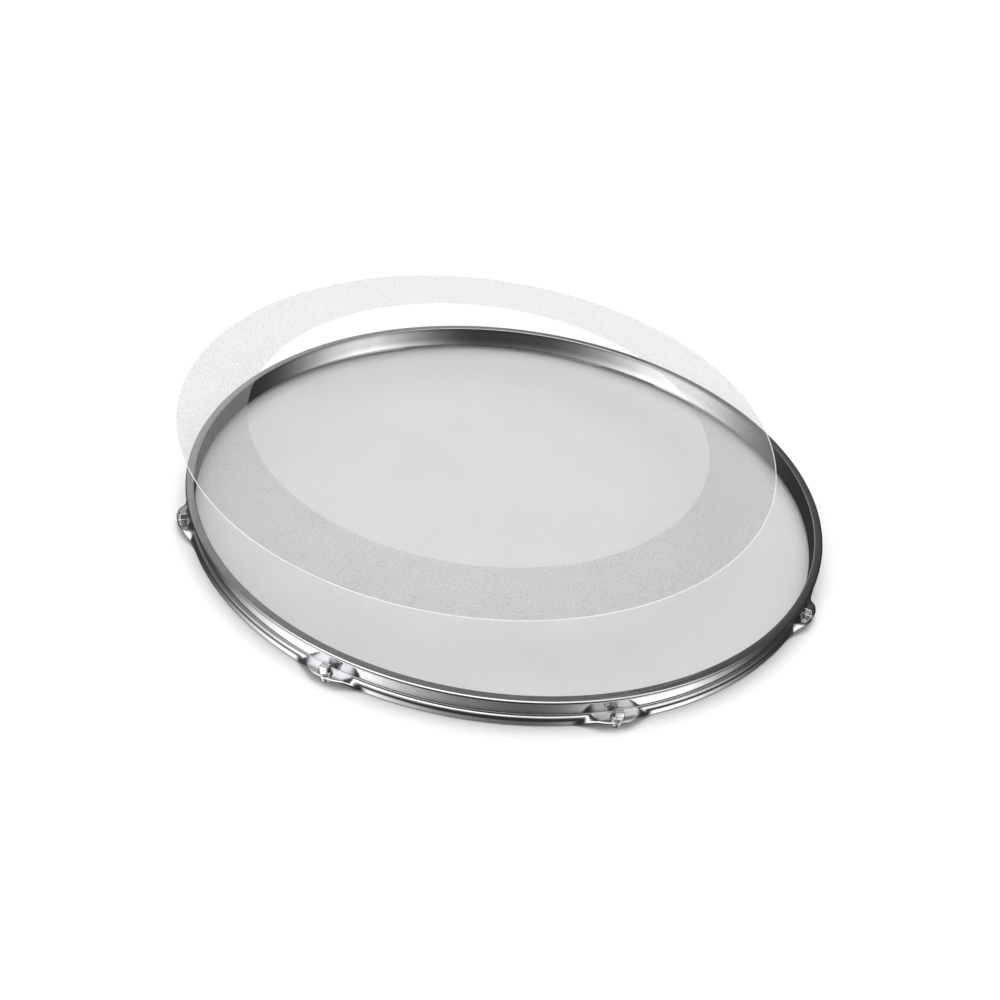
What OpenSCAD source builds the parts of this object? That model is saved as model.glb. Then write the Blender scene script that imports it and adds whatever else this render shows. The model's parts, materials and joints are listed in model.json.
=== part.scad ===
// Drum head assembly: an eight-ear flanged hoop with its head, key rods,
// washers and a loose damping ring. Millimetres, +Z up.
// The origin is on the hoop's axis, in the plane of the skirt's lower edge.

/* [Hoop] */
// Inner radius of the hoop's wall
hoop_r = 180; // [150:1:250]
// Whole height of the hoop
hoop_h = 16; // [14:0.5:24]
// Thickness of the pressed sheet
sheet_t = 2.3; // [1.6:0.1:2.5]
// Width of the turned-out top flange, from the wall's inner face
flange_w = 5; // [4:0.5:8]
// Height of the web's underside above the skirt's lower edge
web_z = 3.3; // [3.2:0.1:5]
// How far the skirt's inner face stands outside the wall's inner face
skirt_out = 2.6; // [2.5:0.1:3]

/* [Ears] */
// Number of ears and tension rods
ear_count = 8; // [5:1:10]
// Azimuth of the first ear
ear_start = 21; // [0:1:44]
// How far the ears reach from the wall's inner face
ear_reach = 10.6; // [10.4:0.1:14]
// Width of an ear along its outer edge
ear_tip_w = 18; // [14:1:22]
// Width of an ear where it joins the skirt
ear_root_w = 33; // [30:1:40]
// Width of the skirt's notch at the web
notch_top_w = 23; // [20:1:26]
// Width of the skirt's notch at its lower edge
notch_low_w = 29; // [26:1:32]

/* [Tension rods] */
// Distance from the wall's inner face to a rod's axis
rod_out = 7; // [6.8:0.1:7.2]
// Diameter over the rod's thread
rod_d = 4.76; // [4:0.02:4.8]
// Diameter of the rod's collar
collar_d = 6.8; // [6:0.1:7]
// Height of the rod's collar
collar_h = 0.9; // [0.8:0.1:2]
// Width across the flats of the square key head
key_w = 4.5; // [4:0.1:5]
// Height of the square key head
key_h = 2.9; // [2:0.1:6]
// Height of the rod's tip above the skirt's lower edge
tip_z = 0.4; // [0.2:0.1:1]
// Diameter of the washer
washer_d = 7.4; // [7:0.1:7.6]
// Thickness of the washer
washer_t = 0.8; // [0.5:0.1:1]

/* [Head] */
// Thickness of the head's film
film_t = 0.25; // [0.18:0.01:0.35]
// Height of the flesh hoop that carries the film
flesh_h = 0.95; // [0.8:0.05:1.2]
// Radial width of the flesh hoop
flesh_w = 1.5; // [1:0.1:1.6]

/* [Damping ring] */
// Outer radius of the ring
ring_r = 169.85; // [140:0.05:172]
// Radial width of the ring's band
ring_w = 38.1; // [25:0.1:51]
// Thickness of the ring's film
ring_t = 0.3; // [0.2:0.05:0.5]
// Centre of the lifted ring
ring_at = [-20, 1, 54.2];
// Angle by which the lifted ring leans
ring_tilt = 1.6; // [0:0.1:3]
// Azimuth towards which the lifted ring leans
ring_lean = -54.5; // [-180:0.5:180]

/* [Hidden] */

$fn = 96;
round_fn = 240;
edge_r = sheet_t / 2;
web_top = web_z + sheet_t;
skirt_r = hoop_r + skirt_out;
flange_r = hoop_r + flange_w;
ear_r = hoop_r + ear_reach;
rod_axis_r = hoop_r + rod_out;
ear_step = 360 / ear_count;
fillet_r = 1.6;
neck_step = 0.32;
neck_r = rod_d / 2 + neck_step;
play = 0.06;
thread_top = web_z - 0.3;
collar_gap = 0.05;
flesh_gap = 0.2;
flesh_r = skirt_r - flesh_gap;
side_x = skirt_r + edge_r;
flank_inset = 0.3;
notch_slope = (notch_low_w - notch_top_w) / 2 / web_z;
cut_reach = 20;

// A straight length of sheet with one rounded edge, in the radius-height plane
module sheet_out(r0, r1, z0) {
    translate([r0, z0])
        square([r1 - r0 - edge_r, sheet_t]);
    translate([r1 - edge_r, z0 + edge_r])
        circle(r = edge_r, $fn = 32);
}

// The concave corner between the wall and the flange
module flange_fillet() {
    translate([hoop_r + sheet_t, hoop_h - sheet_t - fillet_r])
        difference() {
            square(fillet_r);
            translate([fillet_r, 0])
                circle(r = fillet_r, $fn = 32);
        }
}

// The wall and its flange, standing on the web
module wall_section() {
    sheet_out(hoop_r + edge_r, flange_r, hoop_h - sheet_t);
    translate([hoop_r + edge_r, hoop_h - edge_r])
        circle(r = edge_r, $fn = 32);
    translate([hoop_r, web_top])
        square([sheet_t, hoop_h - edge_r - web_top]);
    flange_fillet();
}

// The opening that the turned-out ear leaves in the skirt
module notch() {
    translate([hoop_r, 0, 0])
        rotate([90, 0, 90])
            linear_extrude(cut_reach)
                polygon([
                    [-notch_low_w / 2 - notch_slope, -1],
                    [notch_low_w / 2 + notch_slope, -1],
                    [notch_top_w / 2 - notch_slope, web_z + 1],
                    [-notch_top_w / 2 + notch_slope, web_z + 1]
                ]);
}

module skirt() {
    difference() {
        rotate_extrude($fn = round_fn)
            translate([skirt_r, 0])
                square([sheet_t, web_z]);
        for (i = [0 : ear_count - 1])
            rotate([0, 0, ear_start + i * ear_step])
                notch();
    }
}

// Half the ear's width at a distance x from the hoop's axis
function ear_side(x) =
    ear_root_w / 2 - (x - side_x) * (ear_root_w - ear_tip_w) / 2 / (ear_r - side_x);

// The flat ear, from inside the web to its outer edge
module ear_plate() {
    linear_extrude(sheet_t)
        polygon([
            [skirt_r, -ear_root_w / 2],
            [side_x, -ear_root_w / 2],
            [ear_r, -ear_tip_w / 2],
            [ear_r, ear_tip_w / 2],
            [side_x, ear_root_w / 2],
            [skirt_r, ear_root_w / 2]
        ]);
}

// The flat web that joins the wall to the skirt, with its eight ears
module web_and_ears() {
    translate([0, 0, web_z])
        difference() {
            union() {
                cylinder(r = skirt_r + sheet_t, h = sheet_t, $fn = round_fn);
                for (i = [0 : ear_count - 1])
                    rotate([0, 0, ear_start + i * ear_step])
                        ear_plate();
            }
            translate([0, 0, -1])
                cylinder(r = hoop_r, h = sheet_t + 2, $fn = round_fn);
        }
}

// One flank that turns the skirt's end outwards under the ear's slanted side
module ear_flank(side) {
    flank_start = skirt_r + 1;
    flank_end = ear_r - sheet_t;
    translate([0, 0, web_z / 2])
        linear_extrude(web_z / 2)
            polygon([
                [flank_start, side * (ear_root_w / 2 - flank_inset)],
                [flank_end, side * (ear_side(flank_end) - flank_inset)],
                [flank_end, side * (ear_side(flank_end) - flank_inset - sheet_t)],
                [flank_start, side * (ear_root_w / 2 - flank_inset - 2 * sheet_t)]
            ]);
}

module rod_bore() {
    translate([rod_axis_r, 0, web_z - 1])
        cylinder(r = neck_r + play, h = sheet_t + 2);
}

module hoop() {
    color("silver")
        difference() {
            union() {
                rotate_extrude($fn = round_fn)
                    wall_section();
                skirt();
                web_and_ears();
                for (i = [0 : ear_count - 1])
                    rotate([0, 0, ear_start + i * ear_step]) {
                        ear_flank(1);
                        ear_flank(-1);
                    }
            }
            for (i = [0 : ear_count - 1])
                rotate([0, 0, ear_start + i * ear_step])
                    rod_bore();
        }
}

module head_film() {
    color("whitesmoke", 0.4)
        translate([0, 0, web_z - flesh_h - film_t])
            cylinder(r = flesh_r, h = film_t, $fn = round_fn);
}

module flesh_hoop() {
    color("gainsboro")
        translate([0, 0, web_z - flesh_h])
            difference() {
                cylinder(r = flesh_r, h = flesh_h, $fn = round_fn);
                translate([0, 0, -1])
                    cylinder(r = flesh_r - flesh_w, h = flesh_h + 2, $fn = round_fn);
            }
}

module damping_ring() {
    color("white", 0.5)
        translate(ring_at)
            rotate([0, 0, ring_lean])
                rotate([0, ring_tilt, 0])
                    difference() {
                        cylinder(r = ring_r, h = ring_t, center = true, $fn = round_fn);
                        cylinder(r = ring_r - ring_w, h = ring_t + 1, center = true, $fn = round_fn);
                    }
}

module at_ear(number) {
    rotate([0, 0, ear_start + (number - 1) * ear_step])
        translate([rod_axis_r, 0, 0])
            children();
}

module tension_rod(number) {
    collar_z = web_top + washer_t + collar_gap;
    color("silver")
        at_ear(number) {
            translate([0, 0, tip_z])
                cylinder(d = rod_d, h = thread_top - tip_z);
            translate([0, 0, thread_top])
                cylinder(r = neck_r, h = collar_z - thread_top);
            translate([0, 0, collar_z])
                cylinder(d = collar_d, h = collar_h);
            translate([-key_w / 2, -key_w / 2, collar_z + collar_h])
                cube([key_w, key_w, key_h]);
        }
}

module washer(number) {
    color("gray")
        at_ear(number)
            translate([0, 0, web_top])
                difference() {
                    cylinder(d = washer_d, h = washer_t);
                    translate([0, 0, -1])
                        cylinder(r = neck_r + play, h = washer_t + 2);
                }
}

hoop();
head_film();
flesh_hoop();
damping_ring();
tension_rod(1);  // tension_rod_1
tension_rod(2);  // tension_rod_2
tension_rod(3);  // tension_rod_3
tension_rod(4);  // tension_rod_4
tension_rod(5);  // tension_rod_5
tension_rod(6);  // tension_rod_6
tension_rod(7);  // tension_rod_7
tension_rod(8);  // tension_rod_8
washer(1);  // washer_1
washer(2);  // washer_2
washer(3);  // washer_3
washer(4);  // washer_4
washer(5);  // washer_5
washer(6);  // washer_6
washer(7);  // washer_7
washer(8);  // washer_8
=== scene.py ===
"""A flanged drum hoop with its head, key rods, washers and damping ring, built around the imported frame."""

import json
import math

import bpy
from mathutils import Matrix, Vector

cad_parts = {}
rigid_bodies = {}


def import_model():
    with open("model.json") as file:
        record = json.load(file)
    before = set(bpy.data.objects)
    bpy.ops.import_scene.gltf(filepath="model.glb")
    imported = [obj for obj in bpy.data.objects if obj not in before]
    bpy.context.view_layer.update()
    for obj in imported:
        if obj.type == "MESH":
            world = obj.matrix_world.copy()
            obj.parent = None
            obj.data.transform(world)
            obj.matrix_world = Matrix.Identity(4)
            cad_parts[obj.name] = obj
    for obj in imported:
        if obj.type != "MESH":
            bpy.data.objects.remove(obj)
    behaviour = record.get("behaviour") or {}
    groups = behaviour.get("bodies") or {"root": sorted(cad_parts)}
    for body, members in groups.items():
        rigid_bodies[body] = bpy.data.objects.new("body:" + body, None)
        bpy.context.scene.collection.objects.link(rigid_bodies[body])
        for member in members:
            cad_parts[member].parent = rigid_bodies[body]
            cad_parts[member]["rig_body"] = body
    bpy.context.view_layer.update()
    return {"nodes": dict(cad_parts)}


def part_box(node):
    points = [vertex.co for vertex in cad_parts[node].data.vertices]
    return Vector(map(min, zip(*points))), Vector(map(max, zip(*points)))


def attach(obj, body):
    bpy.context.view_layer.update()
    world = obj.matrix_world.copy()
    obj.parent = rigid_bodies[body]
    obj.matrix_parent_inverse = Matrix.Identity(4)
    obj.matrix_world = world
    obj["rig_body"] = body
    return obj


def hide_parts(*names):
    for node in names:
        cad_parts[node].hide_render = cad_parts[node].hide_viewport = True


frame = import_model()

bl_info = {
    "name": "Drum hoop and damping ring",
    "version": (1, 0, 0),
    "blender": (4, 5, 0),
    "location": "View3D > Sidebar > Drum",
    "description": "Builds an eight-ear flanged drum hoop with its head, rods, washers and damping ring",
    "category": "Object",
}

MM = 0.001
ROUND_STEPS = 256
SECTIONS_PER_EAR = 112
# How close the hoop's sections stand at an ear, against their mean distance
CROWDING = 0.42
# How strongly the damping ring's cut edge glows: a painted highlight, made with white emission
EDGE_PAINTED_GLOW = 0.7
# Reach of the key head's rounded corners, against half its width
KEY_CORNER = 1.32
FLOOR_HALF = 12.0
ROD_NODES = sorted(n for n in frame["nodes"] if n.startswith("tension_rod_"))
WASHER_NODES = sorted(n for n in frame["nodes"] if n.startswith("washer_"))


# ---------------------------------------------------------------- settings


def length(name, description, default):
    return bpy.props.FloatProperty(
        name=name,
        description=description,
        default=default,
        min=0.0,
        subtype="DISTANCE",
        unit="LENGTH",
        precision=5,
    )


def colour(name, description, default):
    return bpy.props.FloatVectorProperty(
        name=name, description=description, default=default, size=3, min=0.0, max=1.0, subtype="COLOR"
    )


def share(name, description, default):
    return bpy.props.FloatProperty(
        name=name, description=description, default=default, min=0.0, max=1.0, subtype="FACTOR"
    )


def angle(name, description, degrees):
    return bpy.props.FloatProperty(
        name=name, description=description, default=math.radians(degrees), subtype="ANGLE", unit="ROTATION"
    )


class HoopSettings(bpy.types.PropertyGroup):
    inner_radius: length("Inner radius", "Radius of the wall's inner face", 180 * MM)
    height: length("Height", "Whole height of the hoop", 16 * MM)
    sheet: length("Sheet", "Thickness of the pressed sheet", 2.3 * MM)
    flange: length("Flange", "Width of the top flange", 5 * MM)
    flange_fillet: length("Flange fillet", "Radius of the corner under the flange", 1.5 * MM)
    crease: length("Crease", "Radius of the corner between the wall and the web", 0.4 * MM)
    web_height: length("Web height", "Height of the web's underside", 3.3 * MM)
    skirt_offset: length("Skirt offset", "Distance from the wall's inner face to the skirt's", 2.6 * MM)
    bend_radius: length("Bend radius", "Mean radius of the bend from the web to the skirt", 1.45 * MM)
    ear_count: bpy.props.IntProperty(name="Ears", description="Number of ears", default=8, min=5, max=12)
    first_ear: angle("First ear", "Azimuth of the first ear", 21)
    edge_thinning: length("Edge thinning", "How much thinner the sheet is at an ear's edge", 1.1 * MM)
    ear_reach: length("Ear reach", "Distance from the wall's inner face to an ear's edge", 10.6 * MM)
    root_width: length("Root width", "Width over which an ear grows out of the skirt", 44 * MM)
    tip_width: length("Tip width", "Width over which an ear has its full reach", 6 * MM)
    rise_width: length("Rise width", "Width over which the skirt's edge rises to an ear", 38 * MM)
    flat_width: length("Flat width", "Width over which an ear lies flat", 18 * MM)
    top_corner: length("Top corner", "Radius of the wall's inner top corner", 0.6 * MM)
    bore_radius: length("Bore radius", "Radius of the ear's hole", 2.76 * MM)
    tint: colour("Tint", "Colour of the chrome on the hoop", (0.72, 0.725, 0.735))


class RodSettings(bpy.types.PropertyGroup):
    axis_offset: length("Axis offset", "Distance from the wall's inner face to a rod's axis", 7 * MM)
    shank: length("Shank", "Diameter over the thread", 4.76 * MM)
    pitch: length("Pitch", "Pitch of the thread", 1.058 * MM)
    thread_depth: length("Thread depth", "Depth of the thread", 0.42 * MM)
    thread_top: length("Thread top", "Height at which the thread ends in a plain neck", 3 * MM)
    neck: length("Neck", "Diameter of the plain neck in the ear's hole", 5.4 * MM)
    collar: length("Collar", "Diameter of the collar", 6.8 * MM)
    collar_height: length("Collar height", "Height of the collar", 0.9 * MM)
    key: length("Key head", "Width across the flats of the square head", 4.5 * MM)
    key_height: length("Key height", "Height of the square head", 2.9 * MM)
    washer: length("Washer", "Diameter of the washer", 7.4 * MM)
    washer_bore: length("Washer bore", "Diameter of the washer's hole", 5.52 * MM)
    tint: colour("Tint", "Colour of the rods' chrome", (0.82, 0.82, 0.83))
    washer_tint: colour("Washer tint", "Colour of the washers' steel", (0.55, 0.55, 0.56))


class HeadSettings(bpy.types.PropertyGroup):
    film_tint: colour("Film tint", "Colour of the head's haze", (0.46, 0.46, 0.465))
    haze: share("Haze", "How much each face of the film covers", 0.17)
    grain: length("Grain", "Size of the film's grain", 0.4 * MM)
    flesh_tint: colour("Flesh hoop tint", "Colour of the flesh hoop's aluminium", (0.5, 0.5, 0.51))


class RingSettings(bpy.types.PropertyGroup):
    band: length("Band", "Radial width of the ring", 38.1 * MM)
    thickness: length("Thickness", "Thickness of the ring's film", 0.3 * MM)
    tint: colour("Tint", "Colour of the frosted film", (0.4, 0.4, 0.4))
    frost: share("Frost", "How much each face of the film covers", 0.175)
    grain: length("Grain", "Size of the frosted grain", 0.55 * MM)


class StageSettings(bpy.types.PropertyGroup):
    elevation: angle("Elevation", "How far the camera looks down", 35.566)
    roll: angle("Roll", "How far the camera is turned about its own axis", 7.77)
    distance: length("Distance", "Distance from the camera to the point it looks at", 757.7 * MM)
    key_strength: bpy.props.FloatProperty(name="Key light", description="Strength of the sun", default=1.3)
    key_spread: angle("Key spread", "Apparent width of the key light", 50)
    lens: bpy.props.FloatProperty(name="Lens", description="Focal length in millimetres", default=46.37)
    floor_tint: colour("Floor tint", "Colour of the floor", (0.95, 0.95, 0.95))


# ---------------------------------------------------------------- node trees


class Builder:
    """Adds nodes to one tree and links them."""

    def __init__(self, tree):
        self.tree = tree

    def add(self, kind, inputs=(), **settings):
        node = self.tree.nodes.new(kind)
        for key, value in settings.items():
            setattr(node, key, value)
        pairs = inputs.items() if isinstance(inputs, dict) else enumerate(inputs)
        for key, value in pairs:
            if isinstance(value, bpy.types.NodeSocket):
                self.tree.links.new(value, node.inputs[key])
            else:
                node.inputs[key].default_value = value
        return node

    def math(self, operation, *values):
        return self.add("ShaderNodeMath", values, operation=operation).outputs[0]

    def total(self, *values):
        result = values[0]
        for value in values[1:]:
            result = self.math("ADD", result, value)
        return result

    def between(self, factor, low, high):
        """low where factor is 0, high where it is 1."""
        return self.math("MULTIPLY_ADD", factor, self.math("SUBTRACT", high, low), low)

    def eased(self, value, start, end):
        """0 where value is start and 1 where it is end, with a smooth step between."""
        node = self.add("ShaderNodeMapRange", [value], interpolation_type="SMOOTHSTEP")
        self.tree.links.new(start, node.inputs["From Min"])
        self.tree.links.new(end, node.inputs["From Max"])
        return node.outputs[0]

    def round_axis(self, radius, azimuth):
        """The x and y of a place at a radius and azimuth."""
        x = self.math("MULTIPLY", radius, self.math("COSINE", azimuth))
        y = self.math("MULTIPLY", radius, self.math("SINE", azimuth))
        return x, y

    def attribute(self, name):
        node = self.add("GeometryNodeInputNamedAttribute", data_type="FLOAT")
        node.inputs["Name"].default_value = name
        return node.outputs["Attribute"]


def geometry_tree(name, inputs):
    """A Geometry Nodes tree with one geometry in and out, and the named inputs."""
    tree = bpy.data.node_groups.new(name, "GeometryNodeTree")
    tree.interface.new_socket("Geometry", in_out="INPUT", socket_type="NodeSocketGeometry")
    for label, kind in inputs.items():
        tree.interface.new_socket(label, in_out="INPUT", socket_type=f"NodeSocket{kind}")
    tree.interface.new_socket("Geometry", in_out="OUTPUT", socket_type="NodeSocketGeometry")
    build = Builder(tree)
    return build, build.add("NodeGroupInput").outputs


def finish_tree(build, geometry, material):
    """Ends a tree in Realize Instances and Set Material."""
    real = build.add("GeometryNodeRealizeInstances", [geometry]).outputs[0]
    done = build.add("GeometryNodeSetMaterial", {"Geometry": real, "Material": material})
    build.add("NodeGroupOutput", [done.outputs[0]])


def grown(name, base, tree, values, cutter=None):
    """The plain mesh that a tree makes of a base mesh, as a new object."""
    piece = bpy.data.objects.new(name, base)
    bpy.context.scene.collection.objects.link(piece)
    modifier = piece.modifiers.new(tree.name, "NODES")
    modifier.node_group = tree
    for item in tree.interface.items_tree:
        if item.in_out == "INPUT" and item.name in values:
            modifier[item.identifier] = values[item.name]
    if cutter is not None:
        bores = piece.modifiers.new("Bores", "BOOLEAN")
        bores.operation = "DIFFERENCE"
        bores.solver = "EXACT"
        bores.object = cutter
    depsgraph = bpy.context.evaluated_depsgraph_get()
    mesh = bpy.data.meshes.new_from_object(piece.evaluated_get(depsgraph), depsgraph=depsgraph)
    piece.modifiers.clear()
    piece.data = mesh
    mesh.name = name
    return piece


def smoothed(piece, sharp_degrees=38):
    """Smooth shading, with the edges sharper than an angle kept crisp."""
    piece.data.shade_smooth()
    piece.data.set_sharp_from_angle(angle=math.radians(sharp_degrees))
    return piece


# ---------------------------------------------------------------- mesh code


def arc(centre, radius, start, end, steps):
    """Points on an arc in the radius-height plane, from start to end in degrees."""
    points = []
    for i in range(steps + 1):
        a = math.radians(start + (end - start) * i / steps)
        points.append((centre[0] + radius * math.cos(a), centre[1] + radius * math.sin(a)))
    return points


def swept_faces(rings, points, closed_rings, closed_points):
    """Quads between neighbouring rings of points; the rings run round the axis."""
    faces = []
    for i in range(rings if closed_rings else rings - 1):
        for j in range(points if closed_points else points - 1):
            i2 = (i + 1) % rings
            j2 = (j + 1) % points
            faces.append((i * points + j, i * points + j2, i2 * points + j2, i2 * points + j))
    return faces


def store(mesh, name, values):
    mesh.attributes.new(name, "FLOAT", "POINT").data.foreach_set("value", values)


def lathe(name, profile, steps, closed=True, rim=None):
    """A profile turned about Z: a closed one makes a ring.

    An open one runs from top to bottom, and is capped at both ends."""
    verts = []
    for i in range(steps):
        a = 2 * math.pi * i / steps
        verts += [(r * math.cos(a), r * math.sin(a), z) for r, z in profile]
    count = len(profile)
    faces = swept_faces(steps, count, True, closed)
    if not closed:
        faces.append([i * count for i in range(steps)])
        faces.append([i * count + count - 1 for i in reversed(range(steps))])
    mesh = bpy.data.meshes.new(name)
    mesh.from_pydata(verts, [], faces)
    if rim:
        store(mesh, "rim", list(rim) * steps)
    mesh.update()
    return mesh


def placed(name, mesh, material, matrix=None):
    """A new object from a mesh that already lies in the frame, or is put there by a matrix."""
    if matrix is not None:
        mesh.transform(matrix)
    mesh.materials.clear()
    mesh.materials.append(material)
    piece = bpy.data.objects.new(name, mesh)
    bpy.context.scene.collection.objects.link(piece)
    return piece


# ---------------------------------------------------------------- materials


def shader(name):
    material = bpy.data.materials.new(name)
    material.use_nodes = True
    material.node_tree.nodes.clear()
    build = Builder(material.node_tree)
    coordinates = build.add("ShaderNodeTexCoord").outputs["Object"]
    principled = build.add("ShaderNodeBsdfPrincipled")
    out = build.add("ShaderNodeOutputMaterial")
    material.node_tree.links.new(principled.outputs[0], out.inputs["Surface"])
    return material, build, coordinates, principled


def noise(build, vector, size, detail=3.0):
    """Noise whose grains are about size across."""
    return build.add(
        "ShaderNodeTexNoise", {"Vector": vector, "Scale": 1 / size, "Detail": detail, "Roughness": 0.55}
    ).outputs[0]


def ranged(build, value, low, high):
    """A noise value spread from low to high."""
    node = build.add("ShaderNodeMapRange", clamp=True)
    build.tree.links.new(value, node.inputs["Value"])
    node.inputs["From Min"].default_value = 0.3
    node.inputs["From Max"].default_value = 0.7
    node.inputs["To Min"].default_value = low
    node.inputs["To Max"].default_value = high
    return node.outputs[0]


def tinted(build, factor, colour_a, colour_b):
    ramp = build.add("ShaderNodeValToRGB", [factor])
    ramp.color_ramp.elements[0].position = 0.3
    ramp.color_ramp.elements[1].position = 0.7
    ramp.color_ramp.elements[0].color = (*colour_a, 1)
    ramp.color_ramp.elements[1].color = (*colour_b, 1)
    return ramp.outputs[0]


def bumped(build, principled, height, strength, distance):
    bump = build.add("ShaderNodeBump", {"Strength": strength, "Distance": distance, "Height": height})
    build.tree.links.new(bump.outputs[0], principled.inputs["Normal"])


def metal(name, tint, rough_low, rough_high, wave, wave_depth):
    """Plated or bare metal with fine polishing marks and a slight waviness."""
    material, build, coordinates, principled = shader(name)
    deep = [c * 0.9 for c in tint]
    patches = noise(build, coordinates, 14 * MM)
    polish = noise(build, coordinates, 0.6 * MM, 4.0)
    link = build.tree.links.new
    link(tinted(build, patches, deep, tint), principled.inputs["Base Color"])
    link(ranged(build, polish, rough_low, rough_high), principled.inputs["Roughness"])
    principled.inputs["Metallic"].default_value = 1.0
    bumped(build, principled, noise(build, coordinates, wave), 0.25, wave_depth)
    return material


def film(name, tint, cover, grain, contrast, rough, rim_cover):
    """Translucent plastic film in a fine grain. Where the rim attribute is 1 its cut edge gets a painted
    highlight: it is made nearly opaque and glows with white emission.
    """
    material, build, coordinates, principled = shader(name)
    link = build.tree.links.new
    specks = noise(build, coordinates, grain, 2.0)
    clouds = noise(build, coordinates, 60 * MM)
    shade = [c * 0.86 for c in tint]
    link(tinted(build, specks, shade, tint), principled.inputs["Base Color"])
    speckled = ranged(build, specks, 1 - contrast, 1 + contrast)
    uneven = build.math("MULTIPLY", speckled, ranged(build, clouds, 0.95, 1.05))
    covered = build.math("MULTIPLY", uneven, cover)
    if rim_cover:
        # Painted highlight: where rim is 1 the film is nearly opaque and glows white by emission, standing
        # in for light caught on the cut edge
        rim = build.add("ShaderNodeAttribute", attribute_name="rim").outputs["Fac"]
        covered = build.between(rim, covered, rim_cover)
        link(build.math("MULTIPLY", rim, EDGE_PAINTED_GLOW), principled.inputs["Emission Strength"])
        principled.inputs["Emission Color"].default_value = (1, 1, 1, 1)
    link(covered, principled.inputs["Alpha"])
    principled.inputs["Roughness"].default_value = rough
    principled.inputs["IOR"].default_value = 1.5
    bumped(build, principled, specks, 0.3, 0.02 * MM)
    return material


# ---------------------------------------------------------------- the hoop


def hoop_section(s):
    """The section's outline: points that stay, then points of the flap that is skirt or ear.

    Each point is (radius, height, flap, start, share, cap, lift). Flap is 1 where the last four count."""
    half = s.sheet / 2
    inner, top = s.inner_radius, s.height
    outer = inner + s.sheet
    web_top = s.web_height + s.sheet
    foot = 0.5 * MM
    stay = arc((inner + foot, s.web_height + foot), foot, 270, 180, 5)
    stay += [(inner, web_top + (top - web_top) * i / 4) for i in (1, 2, 3)]
    corner = s.top_corner
    stay += arc((inner + corner, top - corner), corner, 180, 90, 8)
    stay += arc((inner + s.flange - half, top - half), half, 90, -90, 12)
    fillet = s.flange_fillet
    stay += arc((outer + fillet, top - s.sheet - fillet), fillet, 90, 180, 10)
    stay += [(outer, web_top + s.crease + (top - web_top) * i / 8) for i in (4, 2)]
    stay += arc((outer + s.crease, web_top + s.crease), s.crease, 180, 262, 5)
    section = [(r, z, 0, 0, 0, 0, 0) for r, z in stay]
    upper, cap, lower = 22, 10, 18
    section += [(0, 0, 1, s.crease, i / upper, 0, half) for i in range(upper)]
    for i in range(cap + 1):
        a = math.radians(90 - 180 * i / cap)
        section.append((0, 0, 1, 0, 1, half * math.cos(a), half * math.sin(a)))
    section += [(0, 0, 1, 0, 1 - i / lower, 0, -half) for i in range(1, lower + 1)]
    return section


def hoop_base(s, per_ear):
    """A closed band of sections, each with its place between two ears, for the tree to shape."""
    section = hoop_section(s)
    rings = s.ear_count * per_ear
    mesh = bpy.data.meshes.new("hoop_base")
    points = len(section)
    verts = [(p[0] or s.inner_radius, i * MM, p[1]) for i in range(rings) for p in section]
    mesh.from_pydata(verts, [], swept_faces(rings, points, True, True))
    store(mesh, "turn", [i / per_ear - 0.5 for i in range(rings) for _ in section])
    for column, name in enumerate(("stay_r", "stay_z", "flap", "start", "share", "cap", "lift")):
        store(mesh, name, [p[column] for p in section] * rings)
    return mesh


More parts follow.
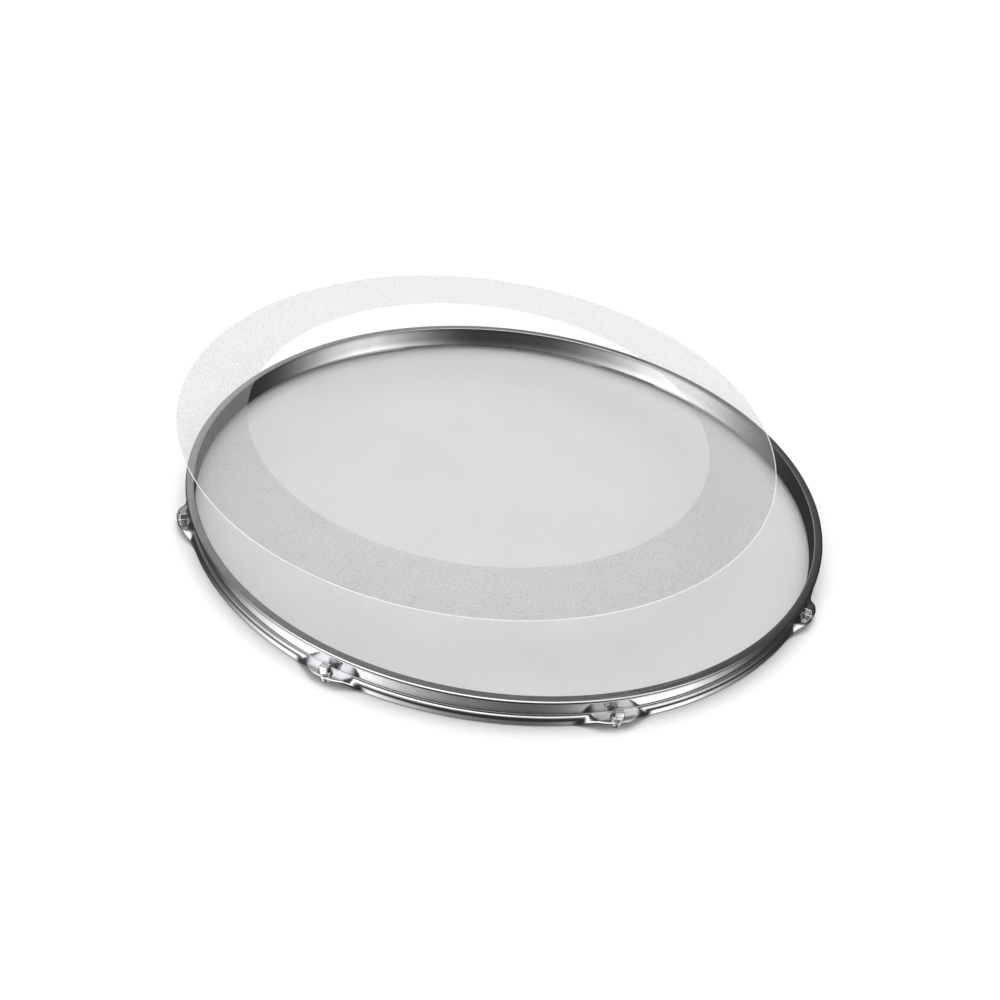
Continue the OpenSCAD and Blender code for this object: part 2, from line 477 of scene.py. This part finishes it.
def hoop_tree():
    """The rule of the pressed hoop: the skirt's flap swings out to a flat ear at each rod."""
    build, sizes = geometry_tree(
        "Pressed hoop",
        {
            "Ears": "Int",
            "First ear": "Float",
            "Crowding": "Float",
            "Root half width": "Float",
            "Tip half width": "Float",
            "Rise half width": "Float",
            "Flat half width": "Float",
            "Bend radius": "Float",
            "Inside radius": "Float",
            "Edge thinning": "Float",
            "Bend start": "Float",
            "Bend height": "Float",
            "Skirt reach": "Float",
            "Skirt depth": "Float",
            "Ear reach": "Float",
            "Finish": "Material",
        },
    )
    m = build.math
    turn = build.attribute("turn")
    ear = m("ROUND", turn)
    off = m("SUBTRACT", turn, ear)
    slack = m("MULTIPLY", m("SUBTRACT", 1.0, sizes["Crowding"]), 4.0)
    spread = m("MULTIPLY_ADD", m("MULTIPLY", off, off), slack, sizes["Crowding"])
    off = m("MULTIPLY", off, spread)
    step = m("DIVIDE", 2 * math.pi, sizes["Ears"])
    azimuth = m("MULTIPLY_ADD", m("ADD", ear, off), step, sizes["First ear"])
    along = m("MULTIPLY", m("MULTIPLY", m("ABSOLUTE", off), step), sizes["Bend start"])
    swing = build.eased(along, sizes["Root half width"], sizes["Tip half width"])
    rise = build.eased(along, sizes["Rise half width"], sizes["Flat half width"])
    bend_radius = sizes["Bend radius"]
    across = build.between(swing, sizes["Skirt reach"], sizes["Ear reach"])
    down = m("MULTIPLY", m("SUBTRACT", 1.0, rise), sizes["Skirt depth"])
    below = m("SUBTRACT", down, bend_radius)
    slant = m("SQRT", m("ADD", m("MULTIPLY", across, across), m("MULTIPLY", below, below)))
    drop = m("ADD", m("ARCTAN2", below, across), m("ARCSINE", m("DIVIDE", bend_radius, slant)))
    drop_sine, drop_cosine = m("SINE", drop), m("COSINE", drop)
    flat_across = m("SUBTRACT", across, m("MULTIPLY", bend_radius, drop_sine))
    flat_down = m("SUBTRACT", down, m("MULTIPLY", bend_radius, m("SUBTRACT", 1.0, drop_cosine)))
    flat = m("ADD", m("MULTIPLY", flat_across, drop_cosine), m("MULTIPLY", flat_down, drop_sine))
    start = build.attribute("start")
    straight = m("SUBTRACT", m("MULTIPLY_ADD", bend_radius, drop, flat), start)
    run = build.total(m("MULTIPLY", build.attribute("share"), straight), start, build.attribute("cap"))
    bend = m("MINIMUM", m("DIVIDE", run, bend_radius), drop)
    past = m("MAXIMUM", m("SUBTRACT", run, m("MULTIPLY", bend_radius, drop)), 0.0)
    thinned = m("MULTIPLY", m("MULTIPLY", swing, build.attribute("share")), sizes["Edge thinning"])
    half = m("SUBTRACT", bend_radius, sizes["Inside radius"])
    lift = build.between(thinned, build.attribute("lift"), half)
    sine, cosine = m("SINE", bend), m("COSINE", bend)
    flap_r = build.total(
        sizes["Bend start"],
        m("MULTIPLY", bend_radius, sine),
        m("MULTIPLY", past, drop_cosine),
        m("MULTIPLY", lift, sine),
    )
    bend_fall = m("MULTIPLY", bend_radius, m("SUBTRACT", 1.0, cosine))
    fall = m("ADD", bend_fall, m("MULTIPLY", past, drop_sine))
    flap_z = m("SUBTRACT", m("MULTIPLY_ADD", lift, cosine, sizes["Bend height"]), fall)
    flap = build.attribute("flap")
    radius = build.between(flap, build.attribute("stay_r"), flap_r)
    height = build.between(flap, build.attribute("stay_z"), flap_z)
    x, y = build.round_axis(radius, azimuth)
    place = build.add("ShaderNodeCombineXYZ", [x, y, height]).outputs[0]
    moved = build.add("GeometryNodeSetPosition", {"Geometry": sizes["Geometry"], "Position": place})
    finish_tree(build, moved.outputs[0], sizes["Finish"])
    return build.tree


def ear_azimuth(s, number):
    return s.first_ear + (number - 1) * 2 * math.pi / s.ear_count


class DRUM_OT_hoop(bpy.types.Operator):
    """Builds the pressed hoop with its flange, skirt and ears"""

    bl_idname = "drum.hoop"
    bl_label = "Hoop"

    def execute(self, context):
        s = context.scene.drum_hoop
        half = s.sheet / 2
        bend_start = s.inner_radius + s.skirt_offset + half - s.bend_radius
        bend_height = s.web_height + half
        values = {
            "Ears": s.ear_count,
            "First ear": s.first_ear,
            "Crowding": CROWDING,
            "Root half width": s.root_width / 2,
            "Tip half width": s.tip_width / 2,
            "Rise half width": s.rise_width / 2,
            "Flat half width": s.flat_width / 2,
            "Bend radius": s.bend_radius,
            "Inside radius": s.bend_radius - half,
            "Edge thinning": s.edge_thinning / s.sheet,
            "Bend start": bend_start,
            "Bend height": bend_height,
            "Skirt reach": s.bend_radius,
            "Skirt depth": bend_height - half,
            "Ear reach": s.inner_radius + s.ear_reach - half - bend_start,
            "Finish": metal("hoop_chrome", s.tint, 0.1, 0.17, 22 * MM, 0.1 * MM),
        }
        axis_radius = s.inner_radius + context.scene.drum_rods.axis_offset
        cutter = bore_cutter(s, axis_radius)
        hoop = grown("hoop_pressed", hoop_base(s, SECTIONS_PER_EAR), hoop_tree(), values, cutter)
        bpy.data.objects.remove(cutter)
        smoothed(hoop)
        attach(hoop, frame["nodes"]["hoop"]["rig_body"])
        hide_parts("hoop")
        return {"FINISHED"}


def bore_cutter(s, axis_radius):
    """Eight plain cylinders where the rods pass through the ears."""
    tall = s.web_height + s.sheet + 1 * MM
    cylinder = lathe("bore_cutter", [(s.bore_radius, tall), (s.bore_radius, 1 * MM)], 40, closed=False)
    return grown("bore_cutter", cylinder, ring_tree(), ring_values(s, s.ear_count, 1, axis_radius, None))


# ---------------------------------------------------------------- rods and washers


def ring_tree():
    """Sets copies of a piece round the hoop, each turned to face outwards."""
    build, sizes = geometry_tree(
        "Round the hoop",
        {"Count": "Int", "First": "Float", "Step": "Float", "Radius": "Float", "Finish": "Material"},
    )
    number = build.add("GeometryNodeInputIndex").outputs[0]
    azimuth = build.math("MULTIPLY_ADD", number, sizes["Step"], sizes["First"])
    place = build.add("ShaderNodeCombineXYZ", build.round_axis(sizes["Radius"], azimuth)).outputs[0]
    points = build.add("GeometryNodePoints", {"Count": sizes["Count"], "Position": place})
    turned = build.add("ShaderNodeCombineXYZ", {"Z": azimuth})
    copies = build.add(
        "GeometryNodeInstanceOnPoints",
        {"Points": points.outputs[0], "Instance": sizes["Geometry"], "Rotation": turned.outputs[0]},
    )
    finish_tree(build, copies.outputs[0], sizes["Finish"])
    return build.tree


def ring_values(s, count, first_number, axis_radius, material):
    return {
        "Count": count,
        "First": ear_azimuth(s, first_number),
        "Step": 2 * math.pi / s.ear_count,
        "Radius": axis_radius,
        "Finish": material,
    }


def rod_mesh(rod, low, high, steps=48):
    """A threaded shank, a collar and a square key head, from the tip at low to the head's top at high."""
    radius = rod.shank / 2
    collar = rod.collar / 2
    head = rod.key / 2
    base = high - rod.key_height
    seat = base - rod.collar_height
    chamfer = 0.4 * MM
    rings = [(low, radius - chamfer, 0, 0), (low + chamfer, radius, 0, 0.3)]
    thread_steps = int((rod.thread_top - low - chamfer) / (0.07 * MM))
    for i in range(1, thread_steps):
        z = low + chamfer + (rod.thread_top - low - chamfer) * i / thread_steps
        rings.append((z, radius, 0, 1))
    rings += [(rod.thread_top, radius, 0, 0.4), (rod.thread_top + 0.1 * MM, rod.neck / 2, 0, 0)]
    edge = 0.22 * MM
    rings += [(seat, rod.neck / 2, 0, 0), (seat, collar - edge, 0, 0)]
    rings += [(z, r, 0, 0) for r, z in arc((collar - edge, seat + edge), edge, -60, 0, 3)]
    rings += [(z, r, 0, 0) for r, z in arc((collar - edge, base - edge), edge, 0, 90, 4)]
    rings += [(base, head * 1.2, 0, 0), (base, head, 1, 0), (base + edge, head, 1, 0)]
    rings += [(high - 2 * edge, head, 1, 0)]
    rings += [(z, r, 1, 0) for r, z in arc((head - 2 * edge, high - 2 * edge), 2 * edge, 0, 90, 5)]
    rings += [(high, head * 0.5, 1, 0)]
    profile_count = len(rings)
    verts = []
    for i in range(steps):
        a = 2 * math.pi * (i + 0.5) / steps
        reach = min(1 / max(abs(math.cos(a)), abs(math.sin(a))), KEY_CORNER)
        for z, r, square, cut in rings:
            phase = (z / rod.pitch - a / (2 * math.pi)) % 1.0
            groove = rod.thread_depth * cut * min(1.0, 2.4 * abs(phase - 0.5))
            full = (r - groove) * (reach if square else 1.0)
            verts.append((full * math.cos(a), full * math.sin(a), z))
    faces = swept_faces(steps, profile_count, True, False)
    faces = [tuple(reversed(f)) for f in faces]
    faces.append([i * profile_count for i in reversed(range(steps))])
    faces.append([i * profile_count + profile_count - 1 for i in range(steps)])
    mesh = bpy.data.meshes.new("rod_base")
    mesh.from_pydata(verts, [], faces)
    return mesh


class DRUM_OT_rods(bpy.types.Operator):
    """Builds the square-headed key rods"""

    bl_idname = "drum.rods"
    bl_label = "Key rods"

    def execute(self, context):
        hoop, rod = context.scene.drum_hoop, context.scene.drum_rods
        chrome = metal("rod_chrome", rod.tint, 0.07, 0.14, 4 * MM, 0.03 * MM)
        tree = ring_tree()
        axis_radius = hoop.inner_radius + rod.axis_offset
        for node in ROD_NODES:
            low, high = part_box(node)
            number = int(node.rsplit("_", 1)[1])
            values = ring_values(hoop, 1, number, axis_radius, chrome)
            piece = grown(f"key_rod_{number}", rod_mesh(rod, low.z, high.z), tree, values)
            smoothed(piece, 50)
            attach(piece, frame["nodes"][node]["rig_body"])
            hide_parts(node)
        return {"FINISHED"}


class DRUM_OT_washers(bpy.types.Operator):
    """Builds the flat washers under the rods' collars"""

    bl_idname = "drum.washers"
    bl_label = "Washers"

    def execute(self, context):
        hoop, rod = context.scene.drum_hoop, context.scene.drum_rods
        low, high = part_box(WASHER_NODES[0])
        edge = 0.14 * MM
        out, bore = rod.washer / 2, rod.washer_bore / 2
        profile = arc((out - edge, high.z - edge), edge, 90, 0, 3)
        profile += arc((out - edge, low.z + edge), edge, 0, -90, 3)
        profile += arc((bore + edge, low.z + edge), edge, 270, 180, 3)
        profile += arc((bore + edge, high.z - edge), edge, 180, 90, 3)
        steel = metal("washer_steel", rod.washer_tint, 0.22, 0.34, 3 * MM, 0.03 * MM)
        values = ring_values(hoop, hoop.ear_count, 1, hoop.inner_radius + rod.axis_offset, steel)
        washers = grown("washers", lathe("washer_base", profile, 48), ring_tree(), values)
        smoothed(washers, 50)
        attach(washers, frame["nodes"][WASHER_NODES[0]]["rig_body"])
        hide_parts(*WASHER_NODES)
        return {"FINISHED"}


# ---------------------------------------------------------------- head and ring


def band_profile(inner, outer, low, high):
    """A flat band's closed outline with round edges, clockwise from its inner top edge.

    The weights that go with it are 1 on the outer edge, where the film is given a painted glow."""
    half = (high - low) / 2
    middle = (high + low) / 2
    shoulder = 4 * half
    top = [(inner + half, high), (inner + shoulder, high), (outer - shoulder, high)]
    edge = arc((outer - half, middle), half, 90, -90, 6)
    below = [(outer - shoulder, low), (inner + shoulder, low)]
    back = arc((inner + half, middle), half, 270, 90, 6)[:-1]
    profile = top + edge + below + back
    rim = [0] * len(top) + [1] * len(edge) + [0] * (len(below) + len(back))
    return profile, rim


class DRUM_OT_head(bpy.types.Operator):
    """Builds the head's film and finishes its flesh hoop"""

    bl_idname = "drum.head"
    bl_label = "Head"

    def execute(self, context):
        s = context.scene.drum_head
        low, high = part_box("head_film")
        half = (high.z - low.z) / 2
        radius = high.x
        profile = [(radius - 6 * half, high.z)]
        profile += arc((radius - half, (low.z + high.z) / 2), half, 90, -90, 8)
        profile += [(radius - 6 * half, low.z)]
        material = film("head_film", s.film_tint, s.haze, s.grain, 0.3, 0.42, 0)
        head = placed("head_skin", lathe("head_skin", profile, ROUND_STEPS, closed=False), material)
        smoothed(head)
        head.visible_glossy = False
        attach(head, frame["nodes"]["head_film"]["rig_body"])
        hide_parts("head_film")
        flesh = frame["nodes"]["flesh_hoop"]
        flesh.data.materials.clear()
        flesh.data.materials.append(metal("flesh_aluminium", s.flesh_tint, 0.28, 0.4, 6 * MM, 0.03 * MM))
        return {"FINISHED"}


def plane_of(node):
    """The upward normal of a flat node's largest faces."""
    normal = Vector((0, 0, 0))
    for face in frame["nodes"][node].data.polygons:
        if face.normal.z > 0.9:
            normal += face.normal * face.area
    return normal.normalized()


class DRUM_OT_ring(bpy.types.Operator):
    """Builds the loose frosted damping ring in its lifted place"""

    bl_idname = "drum.ring"
    bl_label = "Damping ring"

    def execute(self, context):
        s = context.scene.drum_ring
        low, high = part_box("damping_ring")
        outer = (high.x - low.x) / 2
        normal = plane_of("damping_ring")
        half = s.thickness / 2
        profile, rim = band_profile(outer - s.band, outer, -half, half)
        mesh = lathe("damping_ring", profile, ROUND_STEPS * 2, rim=rim)
        turn = Vector((0, 0, 1)).rotation_difference(normal).to_matrix().to_4x4()
        place = Matrix.Translation((low + high) / 2) @ turn
        # The last value makes the ring's outer cut edge nearly opaque under its painted white glow
        material = film("frosted_film", s.tint, s.frost, s.grain, 0.8, 0.5, 0.9)
        ring = placed("frosted_ring", mesh, material, place)
        smoothed(ring)
        ring.visible_shadow = False
        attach(ring, frame["nodes"]["damping_ring"]["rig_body"])
        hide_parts("damping_ring")
        return {"FINISHED"}


# ---------------------------------------------------------------- stage


def add_lobe(build, direction, total, towards, narrow, strength):
    """Adds a soft round light to the world: towards is its direction, narrow its tightness."""
    aim = Vector(towards).normalized()
    dot = build.add("ShaderNodeVectorMath", [direction, aim], operation="DOT_PRODUCT").outputs["Value"]
    lobe = build.math("POWER", build.math("MAXIMUM", dot, 0.0), narrow)
    return build.math("MULTIPLY_ADD", lobe, strength, total)


SOFT_BOXES = (
    ("overhead", (0, -0.1, 1), 10, 3.0),
    ("behind on the left", (-0.35, 0.85, 0.38), 10, 0.6),
    ("low on the left", (-0.64, -0.33, -0.7), 11, 2.6),
    ("low on the right", (0.68, -0.27, -0.69), 18, 2.2),
    ("high on the left", (-0.64, -0.33, 0.7), 11, 2.2),
    ("high on the right", (0.68, -0.27, 0.69), 18, 1.8),
    ("low in front", (0, -0.66, -0.75), 30, 0.2),
)


def studio_world():
    """Soft boxes overhead, behind and low at the sides, with the rest of the room dark."""
    world = bpy.data.worlds.new("studio")
    world.use_nodes = True
    world.node_tree.nodes.clear()
    build = Builder(world.node_tree)
    direction = build.add("ShaderNodeTexCoord").outputs["Generated"]
    total = 0.05
    for _, towards, narrow, strength in SOFT_BOXES:
        total = add_lobe(build, direction, total, towards, narrow, strength)
    background = build.add("ShaderNodeBackground", {"Strength": total})
    out = build.add("ShaderNodeOutputWorld")
    world.node_tree.links.new(background.outputs[0], out.inputs["Surface"])
    return world


class DRUM_OT_stage(bpy.types.Operator):
    """Sets the floor, the soft light and the camera"""

    bl_idname = "drum.stage"
    bl_label = "Stage"

    def execute(self, context):
        s = context.scene.drum_stage
        scene = context.scene
        low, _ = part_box("hoop")
        mesh = bpy.data.meshes.new("floor")
        signs = ((-1, -1), (1, -1), (1, 1), (-1, 1))
        corners = [(x * FLOOR_HALF, y * FLOOR_HALF, low.z) for x, y in signs]
        mesh.from_pydata(corners, [], [(0, 1, 2, 3)])
        material, build, coordinates, principled = shader("floor")
        soft = [c * 0.99 for c in s.floor_tint]
        tint = tinted(build, noise(build, coordinates, 0.4), soft, s.floor_tint)
        build.tree.links.new(tint, principled.inputs["Base Color"])
        principled.inputs["Roughness"].default_value = 0.9
        principled.inputs["Specular IOR Level"].default_value = 0.1
        floor = placed("floor", mesh, material)
        floor.visible_glossy = False
        scene.world = studio_world()
        key = bpy.data.objects.new("key_light", bpy.data.lights.new("key_light", "SUN"))
        key.data.energy = s.key_strength
        key.data.angle = s.key_spread
        key.rotation_euler = Vector((0, 0.4, 1)).to_track_quat("Z", "Y").to_euler()
        key.visible_glossy = False
        scene.collection.objects.link(key)
        scene.view_settings.view_transform = "Standard"
        camera = bpy.data.objects.new("camera", bpy.data.cameras.new("camera"))
        scene.collection.objects.link(camera)
        aim = Vector((-3.43 * MM, -8.0 * MM, 4.8 * MM))
        turned = Matrix.Rotation(math.pi / 2 - s.elevation, 3, "X") @ Matrix.Rotation(s.roll, 3, "Z")
        back = turned @ Vector((0, 0, 1))
        camera.location = aim + back * s.distance
        camera.rotation_euler = turned.to_euler()
        camera.data.sensor_width = 36.0
        camera.data.lens = s.lens
        camera.data.clip_start = 0.01
        scene.camera = camera
        return {"FINISHED"}


class DRUM_PT_panel(bpy.types.Panel):
    """Lists the drum's pieces and their settings"""

    bl_idname = "DRUM_PT_panel"
    bl_label = "Drum hoop"
    bl_space_type = "VIEW_3D"
    bl_region_type = "UI"
    bl_category = "Drum"

    def draw(self, context):
        groups = (
            ("drum_hoop", ("drum.hoop",)),
            ("drum_rods", ("drum.rods", "drum.washers")),
            ("drum_head", ("drum.head",)),
            ("drum_ring", ("drum.ring",)),
            ("drum_stage", ("drum.stage",)),
        )
        for settings, operators in groups:
            box = self.layout.box()
            values = getattr(context.scene, settings)
            for name in values.__annotations__:
                box.prop(values, name)
            for operator in operators:
                box.operator(operator)


SETTINGS = {
    "drum_hoop": HoopSettings,
    "drum_rods": RodSettings,
    "drum_head": HeadSettings,
    "drum_ring": RingSettings,
    "drum_stage": StageSettings,
}
OPERATORS = (DRUM_OT_hoop, DRUM_OT_rods, DRUM_OT_washers, DRUM_OT_head, DRUM_OT_ring, DRUM_OT_stage)


def register():
    for name, group in SETTINGS.items():
        bpy.utils.register_class(group)
        setattr(bpy.types.Scene, name, bpy.props.PointerProperty(type=group))
    for cls in (*OPERATORS, DRUM_PT_panel):
        bpy.utils.register_class(cls)


def unregister():
    for cls in (DRUM_PT_panel, *reversed(OPERATORS)):
        bpy.utils.unregister_class(cls)
    for name, group in SETTINGS.items():
        delattr(bpy.types.Scene, name)
        bpy.utils.unregister_class(group)


def main():
    register()
    bpy.ops.drum.hoop()
    bpy.ops.drum.rods()
    bpy.ops.drum.washers()
    bpy.ops.drum.head()
    bpy.ops.drum.ring()
    bpy.ops.drum.stage()


if __name__ == "__main__":
    main()
